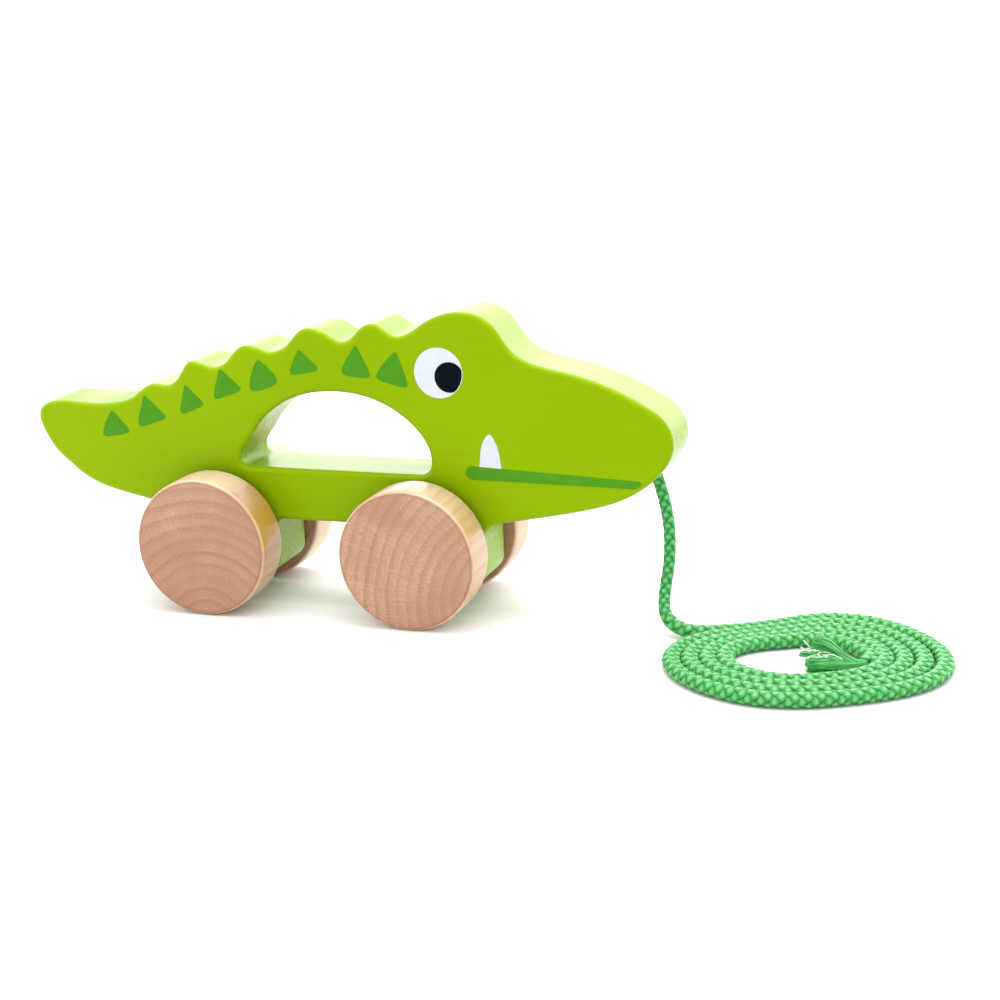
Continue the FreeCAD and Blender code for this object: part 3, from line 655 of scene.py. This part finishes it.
STRANDS_EACH_WAY = 4
LAY_MM = 15.6                # along the cord, in which a strand goes once round
CROSSINGS_PER_LAY = 8
STEPS_PER_CROSSING = 4
STRAND_PITCH_RADIUS_MM = 1.46
STRAND_RISE_MM = 0.24        # over and under the pitch radius
STRAND_HALF_WIDTH_MM = 1.16
STRAND_MEAN_WIDTH = 0.92     # share of the half width, and how much it gains on top and loses below
STRAND_WIDTH_GAIN = 0.1
STRAND_HALF_THICKNESS_MM = 0.45
STRAND_SIDES = 6
STRAND_UV_SHIFT = 1.7        # keeps the fibres of neighbouring strands from matching
# Each strand strays a little, in slow waves of these radians for each lay.
STRAY_RATES = (2.3, 4.0, 5.7)
STRAY_PHASE = 5.0
STRAY_ANGLE = 0.07
STRAY_RISE_MM = 0.05
DRAWS_PER_STRAND = 6         # of which the first few, one for each rate, are used
# Lying slack, the braid spreads: it is wider than it is high, and widest in its tightest bends.
SLACK_WIDTH = 1.3
SLACK_HEIGHT = 1.12
SLACK_BELOW_MM = 9.0
BEND_WIDTH = 0.16
TIGHT_BEND_MM = 26.0
BEND_REACH = 10              # steps each way over which a bend is measured
CORE_RADIUS_MM = 1.0
CORE_SIDES = 6
CORE_STEP_MM = 3.0


def slack_frames(walk, step):
    """Frames along the cord, each with its centre and how far the braid spreads there: round where
    it hangs, and spread out where it lies slack, most of all in its tightest bends."""
    count = int(walk.length / step)
    frames = [walk.frame(min(i * step, walk.length)) for i in range(count + 1)]
    spread = []
    for i, (centre, ahead, side, rise_way) in enumerate(frames):
        before = frames[max(i - BEND_REACH, 0)][1]
        after = frames[min(i + BEND_REACH, count)][1]
        bend = min(1.0, before.angle(after, 0.0) / (2 * BEND_REACH * step) * TIGHT_BEND_MM * MM)
        lying = (SLACK_BELOW_MM * MM - centre.z) / ((SLACK_BELOW_MM - CORD_FLOOR) * MM)
        lying = min(1.0, max(0.0, lying)) ** 2
        wide = 1 + lying * (SLACK_WIDTH - 1 + BEND_WIDTH * bend ** 2)
        high = 1 + lying * (SLACK_HEIGHT - 1)
        centre.z += (high - 1) * CORD_DIAMETER_MM / 2 * MM
        spread.append((centre, ahead, side, rise_way, Vector((wide, wide, high))))
    return spread


def stray(depths, lay):
    """How far a strand strays from its even helix, between -1 and 1."""
    waves = [depth * math.sin(lay * rate + STRAY_PHASE * depth) for rate, depth in zip(STRAY_RATES, depths)]
    return sum(waves) / len(waves)


def strand_ring(shape, painted_light_layer, here, way, start, lay, loose):
    """The vertices round a strand at one frame of the cord. Lay counts its turns so far."""
    centre, ahead, side, rise_way, spread = here
    angle = way * lay * FULL_TURN + start + STRAY_ANGLE * loose
    over = way * math.cos(lay * CROSSINGS_PER_LAY * math.pi)
    radius = (STRAND_PITCH_RADIUS_MM + STRAND_RISE_MM * over + STRAY_RISE_MM * loose) * MM
    outward = side * math.cos(angle) + rise_way * math.sin(angle)
    round_way = rise_way * math.cos(angle) - side * math.sin(angle)
    turn_speed = way * FULL_TURN * STRAND_PITCH_RADIUS_MM / LAY_MM
    along = (ahead + round_way * turn_speed).normalized()
    across = outward.cross(along).normalized()
    half_width = STRAND_HALF_WIDTH_MM * (STRAND_MEAN_WIDTH + STRAND_WIDTH_GAIN * over) * MM
    half_thick = STRAND_HALF_THICKNESS_MM * MM
    ring = []
    for k in range(STRAND_SIDES):
        bearing = FULL_TURN * (k + 0.5) / STRAND_SIDES
        offset = outward * (radius + half_thick * math.sin(bearing))
        offset += across * (half_width * math.cos(bearing))
        vertex = shape.verts.new(centre + offset * spread)
        # Painted light: 1 on the outer face of a strand passing over, 0 where it dives under.
        vertex[painted_light_layer] = 0.5 + 0.5 * over * math.sin(bearing)
        ring.append(vertex)
    return ring


def braid_cord(path):
    """Eight flat strands, four each way, that pass over one and under one round a core."""
    walk = Walk(path)
    shape = bmesh.new()
    uv_layer = shape.loops.layers.uv.new("strand")
    painted_light_layer = shape.verts.layers.float.new("painted_over_under_light")
    step = LAY_MM / CROSSINGS_PER_LAY / STEPS_PER_CROSSING * MM
    dice = random.Random(11)
    frames = slack_frames(walk, step)

    for way in (1, -1):
        for number in range(STRANDS_EACH_WAY):
            start = number * FULL_TURN / STRANDS_EACH_WAY
            depths = [dice.uniform(-1, 1) for _ in range(DRAWS_PER_STRAND)]
            rings = []
            for i, here in enumerate(frames):
                lay = i * step / (LAY_MM * MM)
                rings.append(strand_ring(shape, painted_light_layer, here, way, start, lay, stray(depths, lay)))
            for f, face in enumerate(sweep_rings(shape, rings)):
                row, k = divmod(f, STRAND_SIDES)
                corners = [(k, row), (k + 1, row), (k + 1, row + 1), (k, row + 1)]
                for loop, (u, v) in zip(face.loops, corners):
                    across = u / STRAND_SIDES + number * STRAND_UV_SHIFT + way
                    loop[uv_layer].uv = (across, v * step / MM)

    core_steps = int(walk.length / (CORE_STEP_MM * MM))
    rings = []
    for i in range(core_steps + 1):
        centre, ahead, side, rise_way = walk.frame(i * walk.length / core_steps)
        rings.append(round_ring(shape, centre, side, rise_way, CORE_RADIUS_MM * MM, CORE_SIDES))
    sweep_rings(shape, rings)
    bmesh.ops.recalc_face_normals(shape, faces=shape.faces)
    return mesh_object("braided_cord", shape)


# ------------------------------------------------------------------------------ the frayed end

FIBRE_RADIUS_MM = 0.13
FIBRE_STEPS = 9
FIBRE_SIDES = 4
FIBRE_END = (0.86, 1.04)     # how much of its bundle's line a fibre follows
FIBRE_TWIST = (0.2, 0.9)     # radians round that line
FIBRE_WAVE_RATE = 9.0        # radians along the whole line
BUNDLE_HEIGHT = 0.85         # of a bundle's width
SHADE_MIDDLE = 0.2
# How much paler a bundle's upper fibres are drawn: painted light from above.
PAINTED_LIGHT_BY_HEIGHT = 0.2
SHADE_SPREAD = (-0.15, 0.25)
THREAD_RADIUS_MM = 0.24
THREAD_STEPS = 12

# Bundles of fibres: points of the middle line, root and tip radius, how many, how pale, and how far
# in millimetres a fibre strays.
FIBRE_BUNDLES = [
    # the thick bundle that lies on the floor
    ([(188.2, -32.6, 2.5), (186.6, -36.8, 2.6), (181.5, -38.6, 2.6), (176.0, -39.4, 2.5),
      (170.6, -39.9, 2.4)], 2.1, 2.5, 250, 0.0, 0.4),
    # the bundle that stands up, cut off slanting
    ([(187.8, -33.4, 2.8), (185.0, -36.8, 3.0), (181.6, -35.8, 3.9), (178.0, -33.8, 5.8),
      (174.9, -33.0, 7.6), (171.4, -33.5, 8.6)], 1.8, 2.9, 250, 0.12, 0.2),
    # two thin strands between them
    ([(184.5, -36.6, 3.4), (178.2, -35.6, 4.4), (174.3, -34.8, 4.9), (170.8, -34.9, 4.6),
      (167.3, -34.6, 4.4)], 1.1, 1.0, 80, 0.15, 0.5),
    ([(183.0, -37.4, 3.6), (178.0, -37.6, 4.4), (173.5, -37.2, 4.0), (169.6, -38.4, 3.2)],
     1.0, 1.2, 80, 0.2, 0.6),
]

# Single pale threads that stand out of the tuft: points.
LOOSE_THREADS = [
    [(182.0, -36.5, 3.4), (175.0, -36.0, 4.4), (171.4, -35.0, 5.8), (168.1, -35.0, 9.2)],
    [(181.0, -36.2, 3.6), (174.5, -35.8, 4.4), (170.4, -35.0, 5.2), (167.2, -35.0, 6.8)],
    [(182.5, -37.2, 4.0), (176.5, -36.4, 4.6), (171.2, -36.6, 4.4), (173.0, -37.4, 3.6)],
    [(183.5, -37.0, 4.4), (178.8, -37.6, 4.6), (175.2, -37.2, 5.4), (176.8, -38.4, 4.4)],
    [(182.8, -36.0, 5.0), (177.2, -35.6, 5.2), (172.6, -36.0, 5.0), (169.0, -36.4, 3.8)],
    [(178.0, -37.0, 4.3), (173.6, -36.4, 4.6), (170.6, -36.2, 4.0), (171.9, -37.0, 2.6)],
    [(179.0, -36.4, 5.2), (175.5, -35.6, 6.0), (173.0, -36.6, 5.6), (174.6, -37.8, 4.6)],
    [(181.0, -37.6, 4.8), (177.6, -37.0, 5.8), (174.4, -37.2, 5.0), (172.4, -38.4, 4.8)],
    [(178.5, -35.8, 5.0), (174.0, -35.0, 6.4), (170.6, -34.8, 6.6), (168.6, -34.4, 5.8)],
]


def bend_through(points, share):
    """Place at a share of a smooth line through a few points, a Catmull-Rom curve."""
    spans = len(points) - 1
    at = min(share * spans, spans - 1e-6)
    i = int(at)
    t = at - i
    b, c = points[i], points[i + 1]
    a = points[i - 1] if i > 0 else b * 2 - c
    d = points[i + 2] if i + 2 <= spans else c * 2 - b
    squared = (2 * a - 5 * b + 4 * c - d) * t ** 2
    cubed = (3 * b - a - 3 * c + d) * t ** 3
    return 0.5 * (2 * b + (c - a) * t + squared + cubed)


def fibre(shape, shade_layer, line, radius, shade):
    """One thin fibre along a list of points."""
    rings = []
    for i, centre in enumerate(line):
        ahead = (line[min(i + 1, len(line) - 1)] - line[max(i - 1, 0)]).normalized()
        side = ahead.cross(Vector((0.3, 0.2, 1.0))).normalized()
        ring = round_ring(shape, centre, side, ahead.cross(side), radius, FIBRE_SIDES)
        for vertex in ring:
            vertex[shade_layer] = shade
        rings.append(ring)
    sweep_rings(shape, rings)


def frayed_tuft():
    """The cut end of the cord, its strands opened into bundles of fibres and a few loose threads."""
    shape = bmesh.new()
    shade_layer = shape.verts.layers.float.new("shade")
    dice = random.Random(29)
    for points, root_radius, tip_radius, count, pale, unruly in FIBRE_BUNDLES:
        spine = [place(*point) for point in points]
        whole = spine[-1] - spine[0]
        tip_way = (spine[-1] - spine[-2]).normalized()
        side = whole.cross(Vector((0, 0, 1))).normalized()
        rise_way = side.cross(whole).normalized()
        for _ in range(count):
            reach = math.sqrt(dice.random())
            bearing = dice.random() * FULL_TURN
            end = dice.uniform(*FIBRE_END)
            twist = dice.uniform(*FIBRE_TWIST)
            wave = dice.uniform(-unruly, unruly)
            # A fibre's shade is its own tone plus painted light that makes a bundle's upper fibres paler.
            shade = pale + SHADE_MIDDLE + PAINTED_LIGHT_BY_HEIGHT * reach * math.sin(bearing)
            shade += dice.uniform(*SHADE_SPREAD)
            line = []
            for i in range(FIBRE_STEPS):
                share = i / (FIBRE_STEPS - 1) * end
                radius = (root_radius + (tip_radius - root_radius) * share) * MM * reach
                turned = bearing + twist * share
                spot = bend_through(spine, min(share, 1.0))
                if share > 1.0:
                    spot += tip_way * (share - 1.0) * whole.length
                spot += (side * math.cos(turned) + rise_way * math.sin(turned) * BUNDLE_HEIGHT) * radius
                spot += side * wave * MM * math.sin(share * FIBRE_WAVE_RATE + bearing)
                spot.z = max(spot.z, FIBRE_RADIUS_MM * MM)
                line.append(spot)
            fibre(shape, shade_layer, line, FIBRE_RADIUS_MM * MM, shade)
    for points in LOOSE_THREADS:
        spine = [place(*point) for point in points]
        line = [bend_through(spine, i / (THREAD_STEPS - 1)) for i in range(THREAD_STEPS)]
        fibre(shape, shade_layer, line, THREAD_RADIUS_MM * MM, 1.0)
    bmesh.ops.recalc_face_normals(shape, faces=shape.faces)
    return mesh_object("frayed_tuft", shape)


# ------------------------------------------------------------------------------ wheels

WHEEL_STEPS = 128
EDGE_ROUNDING_MM = 1.7
ROUNDING_STEPS = 6
RIM_STEPS = 6
RIM_CROWN_MM = 0.06          # a sanded rim is highest in its middle
FACE_STEPS = 10
FACE_DISH_MM = 0.05          # and a sanded face is highest in its middle
MERGE_MM = 0.002


def wheel_section(radius, half):
    """Half section of a wheel, from the middle of one face over the rim to the middle of the
    other: distances out from the axle and along it."""
    edge = EDGE_ROUNDING_MM * MM
    face = []
    for i in range(FACE_STEPS):
        share = i / FACE_STEPS
        face.append(((radius - edge) * share, -half + FACE_DISH_MM * MM * share ** 2))
    for i in range(ROUNDING_STEPS + 1):
        turn = math.radians(90) * i / ROUNDING_STEPS
        dished = FACE_DISH_MM * MM * (1 - i / ROUNDING_STEPS)
        out = radius - edge + edge * math.sin(turn)
        face.append((out, -half + edge - edge * math.cos(turn) + dished))
    rim = [(radius, -half + edge + 2 * (half - edge) * i / RIM_STEPS) for i in range(1, RIM_STEPS)]
    other_face = [(out, -along) for out, along in reversed(face)]
    crowned = []
    for out, along in face + rim + other_face:
        sag = RIM_CROWN_MM * MM * (along / half) ** 2 if out > radius - 0.5 * edge else 0.0
        crowned.append((out - sag, along))
    return crowned


def turned_wheel(name, node_name):
    """A disc turned on a lathe: its half section is spun round the axle."""
    low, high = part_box(node_name)
    centre = (low + high) / 2
    section = wheel_section((high.z - low.z) / 2, (high.y - low.y) / 2)
    shape = bmesh.new()
    verts = [shape.verts.new(centre + Vector((out, along, 0))) for out, along in section]
    edges = [shape.edges.new(pair) for pair in zip(verts, verts[1:])]
    bmesh.ops.spin(
        shape, geom=verts + edges, cent=centre, axis=(0, 1, 0), dvec=(0, 0, 0), angle=FULL_TURN,
        steps=WHEEL_STEPS, use_merge=True, use_duplicate=False)
    bmesh.ops.remove_doubles(shape, verts=shape.verts, dist=MERGE_MM * MM)
    bmesh.ops.recalc_face_normals(shape, faces=shape.faces)
    return mesh_object(name, shape), centre


# ------------------------------------------------------------------------------ making the toy

dress("body_board", lime_gloss_paint())

INKS = {
    "back_scales": screen_print("leaf_green_ink", "#46831A", "#3E7C17", 0.42, "#6FBF45"),
    "mouth_line": screen_print("mouth_green_ink", "#49851A", "#407D17", 0.42, "#6FBF45"),
    "eye_white": screen_print("eye_white_ink", "#C3CAD0", "#BCC4CA", 0.35, "#FFFFFF"),
    "tooth": screen_print("tooth_white_ink", "#C3C9D0", "#BBC2C9", 0.35, "#FFFFFF"),
    "eye_pupil": screen_print("pupil_black_ink", "#060D10", "#04090B", 0.3, "#2C4650"),
}
for side in ("left", "right"):
    for feature, ink in INKS.items():
        dress(f"{side}_{feature}", ink)

dowel = bare_dowel_wood()
for end in ("rear", "front"):
    dress(f"{end}_axle", dowel)

# Each wheel's blank was cut elsewhere in the log. In millimetres: where its pith is, across and up
# from the wheel's middle, and the width and sway of its rings. Then the degrees round the rim at
# which its painted amber reflection of the board begins, how deep that is, its tone and its seed.
WHEEL_WOOD = {
    "rear_right_wheel": ((1.0, -31.0), 4.6, 4.0, 8.0, 0.8, 0.97, 1.0),
    "front_right_wheel": ((46.0, -16.0), 4.0, 5.0, 20.0, 0.3, 0.99, 2.0),
    "rear_left_wheel": ((-30.0, 28.0), 3.6, 5.0, 160.0, 0.4, 1.0, 3.0),
    "front_left_wheel": ((18.0, 46.0), 4.2, 5.0, -150.0, 0.4, 1.0, 4.0),
}
for node_name, wood in WHEEL_WOOD.items():
    wheel, middle = turned_wheel(f"turned_{node_name}", node_name)
    wheel.data.materials.append(lacquered_maple(f"lacquered_maple_{node_name}", middle, *wood))
    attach(wheel, node_name.split("_")[0] + "_wheelset")
    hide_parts(node_name)

braid = braid_cord(cord_path)
braid.data.materials.append(braided_polyester())
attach(braid, "root")
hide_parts("pull_cord", "cord_coil")

tuft = frayed_tuft()
tuft.data.materials.append(loose_fibres())
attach(tuft, "root")
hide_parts("cord_frayed_end")

# ------------------------------------------------------------------------------ floor and light

FLOOR_HALF = 30.0
SKY_STRENGTH = 1.49


def studio_floor():
    """One wide flat sheet."""
    shape = bmesh.new()
    bmesh.ops.create_grid(shape, x_segments=1, y_segments=1, size=FLOOR_HALF)
    return mesh_object("studio_floor", shape)


def softbox(name, origin, target, width, height, watts):
    """A soft rectangular lamp at origin that shines at target."""
    light = bpy.data.lights.new(name, "AREA")
    light.shape = "RECTANGLE"
    light.size = width
    light.size_y = height
    light.energy = watts
    lamp = add_object(name, light)
    lamp.visible_camera = False
    put_looking(lamp, Vector(origin), Vector(target))


floor = studio_floor()
floor.data.materials.append(pale_studio_paper())

softbox(
    "overhead_softbox", origin=(0.10, 0.15, 1.0), target=(0.05, 0.0, 0.0), width=1.2, height=0.9,
    watts=11.0)
softbox(
    "back_softbox", origin=(0.30, 1.0, 0.34), target=(0.05, 0.0, 0.05), width=2.4, height=0.6,
    watts=10.0)

world = bpy.data.worlds.new("white_studio")
world.use_nodes = True
sky = world.node_tree.nodes["Background"]
sky.inputs["Color"].default_value = grey(1.0)
sky.inputs["Strength"].default_value = SKY_STRENGTH
bpy.context.scene.world = world
bpy.context.scene.view_settings.view_transform = "Standard"

# ------------------------------------------------------------------------------ end

bpy.context.view_layer.update()
